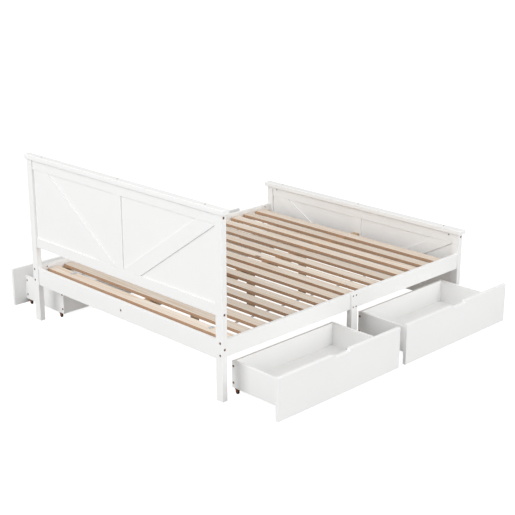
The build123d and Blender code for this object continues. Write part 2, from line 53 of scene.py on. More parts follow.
ENDS = {"head": 1, "foot": -1}
# A face looks along an axis if its normal has at least this much of it
FACING = 0.9
# The sockets of a mix node that hold its two colours, and the one that gives the mixed colour
FIRST_COLOUR, SECOND_COLOUR, MIXED_COLOUR = 6, 7, 2


class Grain(Enum):
    """Which way a board's grain runs, as the turn that brings it onto the X axis."""

    ALONG_X = (0.0, 0.0, 0.0)
    ALONG_Y = (0.0, 0.0, -math.pi / 2)
    ALONG_Z = (0.0, math.pi / 2, 0.0)


def linear(hex_code: str) -> tuple[float, float, float, float]:
    """Turn an sRGB hex colour into the linear values that a shader works with.

    Args:
        hex_code: Six hex digits, such as "F3F3F1".

    Returns:
        Red, green, blue and an alpha of one.
    """
    channels = [int(hex_code[i : i + 2], 16) / 255 for i in (0, 2, 4)]
    low, high = [c / 12.92 for c in channels], [((c + 0.055) / 1.055) ** 2.4 for c in channels]
    return (*[a if c <= 0.04045 else b for c, a, b in zip(channels, low, high)], 1.0)


def add_node(
    tree: bpy.types.NodeTree, kind: str, feeds: dict | None = None, **settings: Any
) -> bpy.types.Node:
    """Add one shader node with its settings, constants and links.

    Args:
        tree: The node tree that gets it.
        kind: Blender's type name of the node.
        feeds: For each input socket, by name or number, a constant or the output socket that feeds it.
        **settings: Properties of the node itself.

    Returns:
        The new node.
    """
    node = tree.nodes.new(kind)
    for name, value in settings.items():
        setattr(node, name, value)
    for socket, value in (feeds or {}).items():
        if isinstance(value, bpy.types.NodeSocket):
            tree.links.new(value, node.inputs[socket])
        else:
            node.inputs[socket].default_value = value
    return node


def new_material(
    name: str, shader: dict
) -> tuple[bpy.types.Material, bpy.types.NodeTree, bpy.types.Node]:
    """Start a material that holds one principled shader.

    Args:
        name: The finish's name.
        shader: Constants for the shader's own sockets.

    Returns:
        The material, its node tree and the shader node.
    """
    material = bpy.data.materials.new(name)
    material.use_nodes = True
    tree = material.node_tree
    tree.nodes.clear()
    principled = add_node(tree, "ShaderNodeBsdfPrincipled", shader)
    add_node(tree, "ShaderNodeOutputMaterial", {"Surface": principled.outputs[0]})
    return material, tree, principled


def stretched(
    tree: bpy.types.NodeTree, grain: Grain, source: bpy.types.NodeSocket, along: float, across: float
) -> bpy.types.NodeSocket:
    """Turn a position so that the grain runs along X, and scale it to one pattern cell.

    Args:
        tree: The node tree.
        grain: Which way the grain runs.
        source: The position in metres.
        along: Length of a pattern cell along the grain, in mm.
        across: Width of a pattern cell across the grain, in mm.

    Returns:
        The output socket of the scaled position.
    """
    turned = add_node(tree, "ShaderNodeMapping", {"Vector": source, "Rotation": grain.value})
    cell = (1 / (along * MM), 1 / (across * MM), 1 / (across * MM))
    scaled = add_node(
        tree, "ShaderNodeVectorMath", {0: turned.outputs[0], 1: cell}, operation="MULTIPLY"
    )
    return scaled.outputs[0]


@dataclass(frozen=True)
class SatinPaint:
    """Water-based white lacquer, sprayed on sanded pine.

    It has a soft satin gloss, and under it the eye finds a trace of the pine's raised grain and of the
    spray's fine orange peel. Both are real sizes, a few millimetres and about one, and only microns high.
    """

    name: str
    grain: Grain
    colour: str = "F8F8F7"
    shade: str = "F4F4F3"
    grain_depth_mm: float = 0.035
    grain_width_mm: float = 3.2
    grain_length_mm: float = 190.0
    peel_mm: float = 1.6
    peel_depth_mm: float = 0.006
    roughness: float = 0.42
    cloud_scale: float = 2.3
    glossiest: float = -0.04
    dullest: float = 0.05
    refraction: float = 1.49
    topcoat: float = 0.06
    topcoat_roughness: float = 0.3

    def build(self) -> bpy.types.Material:
        """Make the material."""
        shader = {
            "Roughness": self.roughness,
            "IOR": self.refraction,
            "Metallic": 0.0,
            "Coat Weight": self.topcoat,
            "Coat Roughness": self.topcoat_roughness,
        }
        material, tree, principled = new_material(self.name, shader)
        place = add_node(tree, "ShaderNodeTexCoord").outputs["Object"]
        cloud = add_node(
            tree, "ShaderNodeTexNoise", {"Vector": place, "Scale": self.cloud_scale, "Detail": 2.0}
        )
        tint = add_node(
            tree,
            "ShaderNodeMix",
            {
                "Factor": cloud.outputs["Fac"],
                FIRST_COLOUR: linear(self.colour),
                SECOND_COLOUR: linear(self.shade),
            },
            data_type="RGBA",
        )
        tree.links.new(tint.outputs[MIXED_COLOUR], principled.inputs["Base Color"])
        gloss = add_node(
            tree,
            "ShaderNodeMapRange",
            {
                "Value": cloud.outputs["Fac"],
                "To Min": self.roughness + self.glossiest,
                "To Max": self.roughness + self.dullest,
            },
        )
        tree.links.new(gloss.outputs[0], principled.inputs["Roughness"])
        fibres = stretched(tree, self.grain, place, self.grain_length_mm, self.grain_width_mm)
        raised = add_node(
            tree, "ShaderNodeTexNoise", {"Vector": fibres, "Scale": 1.0, "Detail": 3.0, "Roughness": 0.55}
        )
        peel = add_node(
            tree, "ShaderNodeTexNoise", {"Vector": place, "Scale": 1 / (self.peel_mm * MM), "Detail": 1.0}
        )
        skin = add_node(
            tree,
            "ShaderNodeBump",
            {"Height": peel.outputs["Fac"], "Distance": self.peel_depth_mm * MM, "Strength": 1.0},
        )
        relief = add_node(
            tree,
            "ShaderNodeBump",
            {
                "Height": raised.outputs["Fac"],
                "Distance": self.grain_depth_mm * MM,
                "Strength": 1.0,
                "Normal": skin.outputs[0],
            },
        )
        tree.links.new(relief.outputs[0], principled.inputs["Normal"])
        return material


@dataclass(frozen=True)
class PlanedPine:
    """Unfinished pine, planed on its faces and saw-cut on its edges.

    Each board is cut from its own place in a log, so that the yearly rings run as long streaks on its faces
    and as arcs on its ends. Rings are 2 to 5 mm apart in such pine. They are drawn at the wide end of that
    so that they still show from across a room. The planed faces are pale. The upright faces are darkened and
    warmed, partly for their saw-cut wood and partly as painted shade on the board sides.
    """

    name: str
    grain: Grain
    board_pitch: float
    first_board: float
    middle_z: float
    early: str = "F2ECE2"
    late: str = "DCC3A9"
    knot: str = "7A5236"
    # Colour multiplied onto the upright faces: painted shade of the board sides, partly the warmer saw-cut
    # wood.
    side_shade: str = "D6B295"
    ring_mm: float = 5.2
    fibre_mm: float = 1.3
    warp_mm: float = 14.0
    # How much painted side shade the upright faces take, and how upright a face must be to take all of it.
    side_shade_share: float = 0.85
    side_shade_begins: float = 0.35
    log_spread: tuple[float, float, float] = (6.0, 0.07, 0.05)
    log_start: tuple[float, float, float] = (0.0, -0.035, 0.035)
    warp_scale: tuple[float, float, float] = (1.3, 10.0, 10.0)
    year_levels: tuple[tuple[float, float], ...] = ((0.55, 0.25), (0.84, 0.95), (0.93, 0.8))
    year_start: float = 0.05
    year_end: float = 0.1
    ring_weight: float = 0.62
    fibre_weight: float = 0.55
    fibre_stretch: float = 0.012
    knot_scale: tuple[float, float, float] = (2.7, 7.5, 7.5)
    knot_core: float = 0.045
    knot_rim: float = 0.1
    knot_weight: float = 0.85
    palest: float = 1.05
    darkest: float = 0.9
    roughness: float = 0.62
    early_roughness: float = 0.68
    late_roughness: float = 0.54
    relief_mm: float = 0.1
    relief_strength: float = 0.6
    refraction: float = 1.5

    def board_position(self, tree: bpy.types.NodeTree, place: bpy.types.NodeSocket) -> tuple:
        """Find where a point is in its own board, with the grain along X.

        Args:
            tree: The node tree.
            place: The point in the bed's frame.

        Returns:
            The position's socket, and the socket of a random value for the board.
        """
        apart = add_node(tree, "ShaderNodeSeparateXYZ", {0: place})
        start = self.first_board - self.board_pitch / 2
        steps = add_node(
            tree,
            "ShaderNodeMath",
            {0: apart.outputs[1], 1: 1 / self.board_pitch, 2: -start / self.board_pitch},
            operation="MULTIPLY_ADD",
        )
        board = add_node(tree, "ShaderNodeMath", {0: steps.outputs[0]}, operation="FLOOR")
        share = add_node(tree, "ShaderNodeMath", {0: steps.outputs[0]}, operation="FRACT")
        inside = add_node(
            tree,
            "ShaderNodeMath",
            {0: share.outputs[0], 1: self.board_pitch, 2: -self.board_pitch / 2},
            operation="MULTIPLY_ADD",
        )
        height = add_node(
            tree, "ShaderNodeMath", {0: apart.outputs[2], 1: self.middle_z}, operation="SUBTRACT"
        )
        local = add_node(
            tree,
            "ShaderNodeCombineXYZ",
            {0: apart.outputs[0], 1: inside.outputs[0], 2: height.outputs[0]},
        )
        turned = add_node(
            tree, "ShaderNodeMapping", {"Vector": local.outputs[0], "Rotation": self.grain.value}
        )
        luck = add_node(tree, "ShaderNodeTexWhiteNoise", {"W": board.outputs[0]}, noise_dimensions="1D")
        pith = add_node(
            tree,
            "ShaderNodeVectorMath",
            {0: luck.outputs["Color"], 1: self.log_spread, 2: self.log_start},
            operation="MULTIPLY_ADD",
        )
        moved = add_node(
            tree, "ShaderNodeVectorMath", {0: turned.outputs[0], 1: pith.outputs[0]}, operation="ADD"
        )
        return moved.outputs[0], luck.outputs["Value"]

    def build(self) -> bpy.types.Material:
        """Make the material."""
        material, tree, principled = new_material(
            self.name, {"Roughness": self.roughness, "IOR": self.refraction, "Metallic": 0.0}
        )
        coordinates = add_node(tree, "ShaderNodeTexCoord")
        place, luck = self.board_position(tree, coordinates.outputs["Object"])
        slow = add_node(
            tree, "ShaderNodeVectorMath", {0: place, 1: self.warp_scale}, operation="MULTIPLY"
        )
        drift = add_node(
            tree, "ShaderNodeTexNoise", {"Vector": slow.outputs[0], "Scale": 1.0, "Detail": 2.0}
        )
        reach = self.warp_mm * MM
        bent = add_node(
            tree,
            "ShaderNodeVectorMath",
            {0: drift.outputs["Color"], 1: (reach, reach, reach), 2: place},
            operation="MULTIPLY_ADD",
        )
        flat = add_node(
            tree, "ShaderNodeVectorMath", {0: bent.outputs[0], 1: (0.0, 1.0, 1.0)}, operation="MULTIPLY"
        )
        radius = add_node(tree, "ShaderNodeVectorMath", {0: flat.outputs[0]}, operation="LENGTH")
        years = add_node(
            tree,
            "ShaderNodeMath",
            {0: radius.outputs["Value"], 1: 1 / (self.ring_mm * MM)},
            operation="MULTIPLY",
        )
        year = add_node(tree, "ShaderNodeMath", {0: years.outputs[0]}, operation="FRACT")
        ring = add_node(tree, "ShaderNodeValToRGB", {"Fac": year.outputs[0]})
        stops = ring.color_ramp.elements
        stops[0].position, stops[0].color = 0.0, (self.year_start,) * 3 + (1,)
        stops[1].position, stops[1].color = 1.0, (self.year_end,) * 3 + (1,)
        for position, level in self.year_levels:
            stop = stops.new(position)
            stop.color = (level, level, level, 1)
        per_fibre = 1 / (self.fibre_mm * MM)
        cell = (self.fibre_stretch * per_fibre, per_fibre, per_fibre)
        thin = add_node(tree, "ShaderNodeVectorMath", {0: place, 1: cell}, operation="MULTIPLY")
        fibres = add_node(
            tree, "ShaderNodeTexNoise", {"Vector": thin.outputs[0], "Scale": 1.0, "Detail": 4.0}
        )
        streak = add_node(
            tree,
            "ShaderNodeMath",
            {0: fibres.outputs["Fac"], 1: self.fibre_weight, 2: 0.0},
            operation="MULTIPLY_ADD",
        )
        share = add_node(
            tree,
            "ShaderNodeMath",
            {0: ring.outputs[0], 1: self.ring_weight, 2: streak.outputs[0]},
            operation="MULTIPLY_ADD",
        )
        wood = add_node(
            tree,
            "ShaderNodeMix",
            {"Factor": share.outputs[0], FIRST_COLOUR: linear(self.early), SECOND_COLOUR: linear(self.late)},
            data_type="RGBA",
        )
        spots = add_node(
            tree, "ShaderNodeVectorMath", {0: bent.outputs[0], 1: self.knot_scale}, operation="MULTIPLY"
        )
        knots = add_node(tree, "ShaderNodeTexVoronoi", {"Vector": spots.outputs[0], "Scale": 1.0})
        near = add_node(
            tree,
            "ShaderNodeMapRange",
            {
                "Value": knots.outputs["Distance"],
                "From Min": self.knot_core,
                "From Max": self.knot_rim,
                "To Min": self.knot_weight,
                "To Max": 0.0,
            },
            interpolation_type="SMOOTHSTEP",
        )
        knotted = add_node(
            tree,
            "ShaderNodeMix",
            {
                "Factor": near.outputs[0],
                FIRST_COLOUR: wood.outputs[MIXED_COLOUR],
                SECOND_COLOUR: linear(self.knot),
            },
            data_type="RGBA",
        )
        tone = add_node(
            tree, "ShaderNodeMapRange", {"Value": luck, "To Min": self.darkest, "To Max": self.palest}
        )
        toned = add_node(
            tree,
            "ShaderNodeVectorMath",
            {0: knotted.outputs[MIXED_COLOUR], "Scale": tone.outputs[0]},
            operation="SCALE",
        )
        # Faces that don't look up or down get the side colour multiplied in: painted shade of the board
        # sides, partly the warmer saw-cut wood.
        facing = add_node(tree, "ShaderNodeSeparateXYZ", {0: coordinates.outputs["Normal"]})
        upward = add_node(tree, "ShaderNodeMath", {0: facing.outputs[2]}, operation="ABSOLUTE")
        painted_side_shade = add_node(
            tree,
            "ShaderNodeMapRange",
            {
                "Value": upward.outputs[0],
                "From Min": self.side_shade_begins,
                "From Max": FACING,
                "To Min": self.side_shade_share,
                "To Max": 0.0,
            },
        )
        side_shaded = add_node(
            tree,
            "ShaderNodeMix",
            {"Factor": painted_side_shade.outputs[0], FIRST_COLOUR: toned.outputs[0], SECOND_COLOUR: linear(self.side_shade)},
            data_type="RGBA",
            blend_type="MULTIPLY",
        )
        tree.links.new(side_shaded.outputs[MIXED_COLOUR], principled.inputs["Base Color"])
        dull = add_node(
            tree,
            "ShaderNodeMapRange",
            {"Value": share.outputs[0], "To Min": self.early_roughness, "To Max": self.late_roughness},
        )
        tree.links.new(dull.outputs[0], principled.inputs["Roughness"])
        relief = add_node(
            tree,
            "ShaderNodeBump",
            {
                "Height": share.outputs[0],
                "Distance": self.relief_mm * MM,
                "Strength": self.relief_strength,
            },
        )
        tree.links.new(relief.outputs[0], principled.inputs["Normal"])
        return material


@dataclass(frozen=True)
class PlatedSteel:
    """Steel fasteners and sheet-metal parts with a dark bronze zinc plating.

    The plating is thin and a little uneven, so the metal shows soft cloudy changes in its gloss.
    """

    name: str
    colour: str = "6E4026"
    worn: str = "8C5A3C"
    roughness: float = 0.6
    cloud_mm: float = 4.0
    glossiest: float = -0.1
    dullest: float = 0.14
    metal: float = 0.35

    def build(self) -> bpy.types.Material:
        """Make the material."""
        material, tree, principled = new_material(
            self.name, {"Metallic": self.metal, "Roughness": self.roughness}
        )
        place = add_node(tree, "ShaderNodeTexCoord").outputs["Object"]
        cloud = add_node(
            tree,
            "ShaderNodeTexNoise",
            {"Vector": place, "Scale": 1 / (self.cloud_mm * MM), "Detail": 3.0},
        )
        tint = add_node(
            tree,
            "ShaderNodeMix",
            {
                "Factor": cloud.outputs["Fac"],
                FIRST_COLOUR: linear(self.colour),
                SECOND_COLOUR: linear(self.worn),
            },
            data_type="RGBA",
        )
        tree.links.new(tint.outputs[MIXED_COLOUR], principled.inputs["Base Color"])
        gloss = add_node(
            tree,
            "ShaderNodeMapRange",
            {
                "Value": cloud.outputs["Fac"],
                "To Min": self.roughness + self.glossiest,
                "To Max": self.roughness + self.dullest,
            },
        )
        tree.links.new(gloss.outputs[0], principled.inputs["Roughness"])
        return material


@dataclass(frozen=True)
class MouldedNylon:
    """Black nylon, injection moulded, with the fine matt grit of a spark-eroded mould."""

    name: str
    colour: str = "2A2320"
    grit_mm: float = 0.6
    grit_depth_mm: float = 0.03
    roughness: float = 0.5
    refraction: float = 1.53

    def build(self) -> bpy.types.Material:
        """Make the material."""
        material, tree, principled = new_material(
            self.name,
            {"Base Color": linear(self.colour), "Roughness": self.roughness, "IOR": self.refraction},
        )
        place = add_node(tree, "ShaderNodeTexCoord").outputs["Object"]
        grit = add_node(
            tree, "ShaderNodeTexNoise", {"Vector": place, "Scale": 1 / (self.grit_mm * MM), "Detail": 2.0}
        )
        relief = add_node(
            tree,
            "ShaderNodeBump",
            {"Height": grit.outputs["Fac"], "Distance": self.grit_depth_mm * MM, "Strength": 1.0},
        )
        tree.links.new(relief.outputs[0], principled.inputs["Normal"])
        return material


@dataclass(frozen=True)
class WovenTape:
    """Light grey polyester tape, plain woven, with the rib of its weft threads across it."""

    name: str
    colour: str = "D9DBDD"
    shadow: str = "A9ADB2"
    thread_mm: float = 1.5
    thread_depth_mm: float = 0.2
    relief_strength: float = 0.8
    roughness: float = 0.8
    refraction: float = 1.5
    fuzz: float = 0.25
    fuzz_roughness: float = 0.4

    def build(self) -> bpy.types.Material:
        """Make the material."""
        material, tree, principled = new_material(
            self.name,
            {
                "Roughness": self.roughness,
                "IOR": self.refraction,
                "Sheen Weight": self.fuzz,
                "Sheen Roughness": self.fuzz_roughness,
            },
        )
        way = add_node(tree, "ShaderNodeUVMap", uv_map="run").outputs[0]
        per_thread = math.tau / (self.thread_mm * MM)
        threads = add_node(tree, "ShaderNodeVectorMath", {0: way, "Scale": per_thread}, operation="SCALE")
        apart = add_node(tree, "ShaderNodeSeparateXYZ", {0: threads.outputs[0]})
        across = add_node(tree, "ShaderNodeMath", {0: apart.outputs[0]}, operation="SINE")
        along = add_node(tree, "ShaderNodeMath", {0: apart.outputs[1]}, operation="SINE")
        crossing = add_node(
            tree, "ShaderNodeMath", {0: across.outputs[0], 1: along.outputs[0]}, operation="MULTIPLY"
        )
        height = add_node(
            tree, "ShaderNodeMapRange", {"Value": crossing.outputs[0], "From Min": -1.0, "From Max": 1.0}
        )
        tint = add_node(
            tree,
            "ShaderNodeMix",
            {
                "Factor": height.outputs[0],
                FIRST_COLOUR: linear(self.shadow),
                SECOND_COLOUR: linear(self.colour),
            },
            data_type="RGBA",
        )
        tree.links.new(tint.outputs[MIXED_COLOUR], principled.inputs["Base Color"])
        relief = add_node(
            tree,
            "ShaderNodeBump",
            {
                "Height": height.outputs[0],
                "Distance": self.thread_depth_mm * MM,
                "Strength": self.relief_strength,
            },
        )
        tree.links.new(relief.outputs[0], principled.inputs["Normal"])
        return material


@dataclass(frozen=True)
class PaleFloor:
    """Seamless white studio sweep.

    It throws back light as pale paper does, so that what stands under the bed stays in shade. To the camera
    it is lit up to white.
    """

    name: str = "white_studio_sweep"
    colour: str = "B8B8B8"
    glow: float = 0.92
    roughness: float = 0.9

    def build(self) -> bpy.types.Material:
        """Make the material."""
        material, tree, principled = new_material(
            self.name,
            {
                "Base Color": linear(self.colour),
                "Roughness": self.roughness,
                "Emission Color": linear("FFFFFF"),
            },
        )
        seen = add_node(tree, "ShaderNodeLightPath").outputs["Is Camera Ray"]
        lit = add_node(tree, "ShaderNodeMath", {0: seen, 1: self.glow}, operation="MULTIPLY")
        tree.links.new(lit.outputs[0], principled.inputs["Emission Strength"])
        return material


def dress(names: list[str], material: bpy.types.Material) -> None:
    """Give CAD nodes a finish.

    Args:
        names: The nodes.
        material: Their finish.
    """
    for name in names:
        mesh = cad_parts[name].data
        mesh.materials.clear()
        mesh.materials.append(material)
        LOG.info("dressed %s in %s", name, material.name)


def deselect() -> None:
    """Leave nothing selected."""
    bpy.ops.object.select_all(action="DESELECT")


def settle(obj: bpy.types.Object) -> None:
    """Move an object's place, turn and scale into its mesh.

    Args:
        obj: The mesh object.
    """
    obj.data.transform(obj.matrix_basis)
    obj.matrix_basis = Matrix.Identity(4)


def choose_faces(obj: bpy.types.Object, test: Callable[[Vector, Vector], bool]) -> None:
    """In edit mode, select just the faces that pass a test.

    Args:
        obj: The object in edit mode.
        test: Takes a face's centre and normal, and says whether it is wanted.
    """
    bpy.ops.mesh.select_all(action="DESELECT")
    bpy.ops.object.mode_set(mode="OBJECT")
    for polygon in obj.data.polygons:
        polygon.select = bool(test(polygon.center, polygon.normal))
    bpy.ops.object.mode_set(mode="EDIT")
    bpy.ops.mesh.select_mode(type="FACE")


def finish_modifiers(obj: bpy.types.Object) -> None:
    """Apply every modifier of an object.

    Args:
        obj: The mesh object.
    """
    bpy.context.view_layer.objects.active = obj
    for modifier in list(obj.modifiers):
        bpy.ops.object.modifier_apply(modifier=modifier.name)


def joined(pieces: list[bpy.types.Object], name: str) -> bpy.types.Object:
    """Join several meshes into one piece.

    Args:
        pieces: The meshes, each settled.
        name: The piece's name.

    Returns:
        The joined object.
    """
    deselect()
    for piece in pieces:
        piece.select_set(True)
    bpy.context.view_layer.objects.active = pieces[0]
    bpy.ops.object.join()
    pieces[0].name = name
    pieces[0].data.name = name
    deselect()
    return pieces[0]


def copied(model: bpy.types.Object, matrices: list[Matrix], name: str) -> bpy.types.Object:
    """Copy a model to several places and join the copies.

    Args:
        model: The settled model, which stays as it is.
        matrices: Where each copy goes.
        name: The joined piece's name.

    Returns:
        The joined object.
    """
    copies = []
    for matrix in matrices:
        copy = model.copy()
        copy.data = model.data.copy()
        bpy.context.scene.collection.objects.link(copy)
        copy.data.transform(matrix)
        copies.append(copy)
    return joined(copies, name)


def smooth(obj: bpy.types.Object, degrees: float = 32.0) -> None:
    """Shade an object smooth, apart from its sharp edges.

    Args:
        obj: The mesh object.
        degrees: Edges sharper than this stay sharp.
    """
    deselect()
    obj.select_set(True)
    bpy.context.view_layer.objects.active = obj
    bpy.ops.object.shade_smooth_by_angle(angle=math.radians(degrees))
    deselect()


@dataclass
class PaintedFrame:
    """The white head end, foot end, side rails and middle legs, which the CAD already shapes."""

    across: list[str] = field(
        default_factory=lambda: [
            *[f"{end}_{part}" for end in ENDS for part in ("cap", "top_rail", "panel_rail")],
            "head_cross_rail",
        ]
    )

    def build(self) -> None:
        """Paint each board along its own grain."""
        along_x = SatinPaint("satin_paint_on_pine_across", Grain.ALONG_X).build()
        along_y = SatinPaint("satin_paint_on_pine_lengthwise", Grain.ALONG_Y).build()
        along_z = SatinPaint("satin_paint_on_pine_upright", Grain.ALONG_Z).build()
        panel = SatinPaint(
            "satin_paint_on_plywood", Grain.ALONG_Z, grain_depth_mm=0.02, grain_width_mm=5.0
        ).build()
        dress(self.across, along_x)
        dress([f"side_rail_{side}_{end}" for side in SIDES for end in ENDS], along_y)
        dress([f"{end}_post_{side}" for side in SIDES for end in ENDS], along_z)
        dress(["middle_legs", "head_trim", "foot_trim"], along_z)
        dress(["head_panel", "foot_panel"], panel)


@dataclass
class SlatBase:
    """The pine slats with their tapes and staples, and the pine beam, legs and cleats under them."""

    row_count: int = 8
    pitch: float = 120 * MM
    slat_width: float = 70 * MM
    tape_width: float = 20 * MM
    tape_thickness: float = 1.2 * MM
    tape_gap: float = 0.2 * MM
    tape_tail: float = 42 * MM
    tape_arch: float = 1.5 * MM
    tape_bend: float = 2.4 * MM
    tape_columns: int = 6
    bend_step: int = 15
    tape_smooth: float = 50.0
    sag: float = 1.6 * MM
    step: float = 3.0 * MM
    staple_crown: float = 10 * MM
    wire: float = 0.5 * MM
    wire_flatness: float = 1.6
    beam_pitch: float = 1000 * MM
    leg_pitch: float = 470 * MM
    leg_height: float = 100 * MM

    def build(self) -> None:
        """Dress the timber and make the tapes and staples."""
        low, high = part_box("slats")
        self.low_z, self.top_z = low.z, high.z
        self.first = low.y + self.slat_width / 2
        self.last = high.y - self.slat_width / 2
        middle = (low.z + high.z) / 2
        planed = PlanedPine("planed_pine_slats", Grain.ALONG_X, self.pitch, self.first, middle)
        dress(["slats"], planed.build())
        # The beam, cleats and legs take darker pine colours and no side shade: painted shade of the shadow
        # under the slats.
        dark = {"early": "D8C0A2", "late": "B8946C", "side_shade_share": 0.0}
        # The beam and the cleats are two boards to the eye, one towards each end, and each leg is its own
        beam = PlanedPine("pine_beam_painted_shade", Grain.ALONG_Y, self.beam_pitch, -self.beam_pitch / 2, middle, **dark)
        legs = PlanedPine("pine_legs_painted_shade", Grain.ALONG_Z, self.leg_pitch, 0.0, self.leg_height, **dark)
        dress(["centre_beam", "support_cleats"], beam.build())
        dress(["centre_legs"], legs.build())
        self.make_tapes()
        self.make_staples()

    def slat_middles(self) -> list[float]:
        """Return the Y of the middle of each slat, for the foot's row and then for the head's."""
        steps = [self.pitch * i for i in range(self.row_count)]
        return [*[self.first + step for step in steps], *[self.last - step for step in reversed(steps)]]

    def hang(self, y: float, middles: list[float]) -> float:
        """Work out how far a tape hangs down where it crosses the space between two slats.

        Args:
            y: The place along the bed.
            middles: The Y of the middle of each slat.

        Returns:
            The drop, in metres.
        """
        for low, high in zip(middles, middles[1:]):
            start, space = low + self.slat_width / 2, high - low - self.slat_width
            if start < y < start + space:
                return self.sag * math.sin(math.pi * (y - start) / space) ** 2
        return 0.0

    def tape_line(self) -> list[tuple[float, float]]:
        """Work out a tape's centre line.

        Returns:
            Its Y and Z from under the first slat, along under the rows and up onto the last slat.
        """
        half, bend = self.tape_thickness / 2, self.tape_bend
        top = self.top_z + self.tape_gap + half
        under = self.low_z - self.tape_gap - half
        middles = self.slat_middles()
        start = middles[0] - self.slat_width / 4
        end = middles[-1] - self.slat_width / 2 - self.tape_gap - half
        quarter = [math.radians(angle) for angle in range(0, 91, self.bend_step)]
        count = round((end - bend - start) / self.step)
        run = [start + (end - bend - start) * i / count for i in range(count)]
        line = [(y, under - self.hang(y, middles)) for y in run]
        line += [(end - bend + bend * math.sin(a), under + bend - bend * math.cos(a)) for a in quarter]
        line += [(end + bend - bend * math.cos(a), top - bend + bend * math.sin(a)) for a in quarter]
        count = round((self.tape_tail - bend) / self.step)
        for i in range(1, count + 1):
            lift = self.tape_arch * math.sin(math.pi * i / count)
            line.append((end + bend + (self.tape_tail - bend - half) * i / count, top + lift))
        return line

    def make_tapes(self) -> None:
        """Make the two woven tapes that hold the slats apart."""
        line = self.tape_line()
        low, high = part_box("slat_straps")
        cloth = WovenTape("woven_polyester_tape").build()
        tapes = []
        for x in (low.x + self.tape_width / 2, high.x - self.tape_width / 2):
            deselect()
            bpy.ops.mesh.primitive_grid_add(
                x_subdivisions=self.tape_columns, y_subdivisions=len(line) - 1, size=1.0
            )
            tape = bpy.context.object
            settle(tape)
            layer = tape.data.uv_layers.new(name="run")
            run = [0.0]
            for (y0, z0), (y1, z1) in zip(line, line[1:]):
                run.append(run[-1] + math.hypot(y1 - y0, z1 - z0))
            rows = {}
            for vertex in tape.data.vertices:
                row = round((vertex.co.y + 0.5) * (len(line) - 1))
                rows[vertex.index] = (vertex.co.x * self.tape_width, run[row])
                y, z = line[row]
                vertex.co = (x + vertex.co.x * self.tape_width, y, z)
            for loop in tape.data.loops:
                layer.data[loop.index].uv = rows[loop.vertex_index]
            solidify = tape.modifiers.new("thickness", "SOLIDIFY")
            solidify.thickness = self.tape_thickness
            solidify.offset = 0.0
            bevel = tape.modifiers.new("selvedge", "BEVEL")
            bevel.width = self.tape_thickness / 3
            bevel.segments = 2
            bevel.limit_method = "ANGLE"
            finish_modifiers(tape)
            tapes.append(tape)
        tape = joined(tapes, "slat_tapes")
        smooth(tape, self.tape_smooth)
        tape.data.materials.clear()
        tape.data.materials.append(cloth)
        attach(tape, "bed_frame")
        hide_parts("slat_straps")
        LOG.info("made %s", tape.name)

    def make_staples(self) -> None:
        """Make the wire staples that pin the tapes to the slats, one model copied to each place."""
        deselect()
        bpy.ops.mesh.primitive_cube_add(size=1.0)
        staple = bpy.context.object
        staple.scale = (self.staple_crown, self.wire * self.wire_flatness, self.wire)
        settle(staple)
        bevel = staple.modifiers.new("drawn_wire", "BEVEL")
        bevel.width = self.wire / 3
        bevel.segments = 2
        finish_modifiers(staple)
        low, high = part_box("slat_straps")
        columns = (low.x + self.tape_width / 2, high.x - self.tape_width / 2)
        middles = self.slat_middles()
        top = self.top_z + self.tape_gap + self.tape_thickness + self.wire / 4
        under = self.low_z - self.tape_gap - self.tape_thickness - self.wire / 4
        tail_y = middles[-1] - self.slat_width / 2 + self.tape_tail / 2
        places = [(x, tail_y, top + self.tape_arch) for x in columns]
        places += [(x, y, under) for x in columns for y in middles[:-1]]
        staples = copied(staple, [Matrix.Translation(place) for place in places], "tape_staples")
        bpy.data.objects.remove(staple)
        staples.data.materials.clear()
        staples.data.materials.append(
            PlatedSteel("galvanised_staple_wire", "B9BCC0", "DADCDE", 0.3, 2.0).build()
        )
        smooth(staples)
        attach(staples, "bed_frame")
        LOG.info("made %s", staples.name)


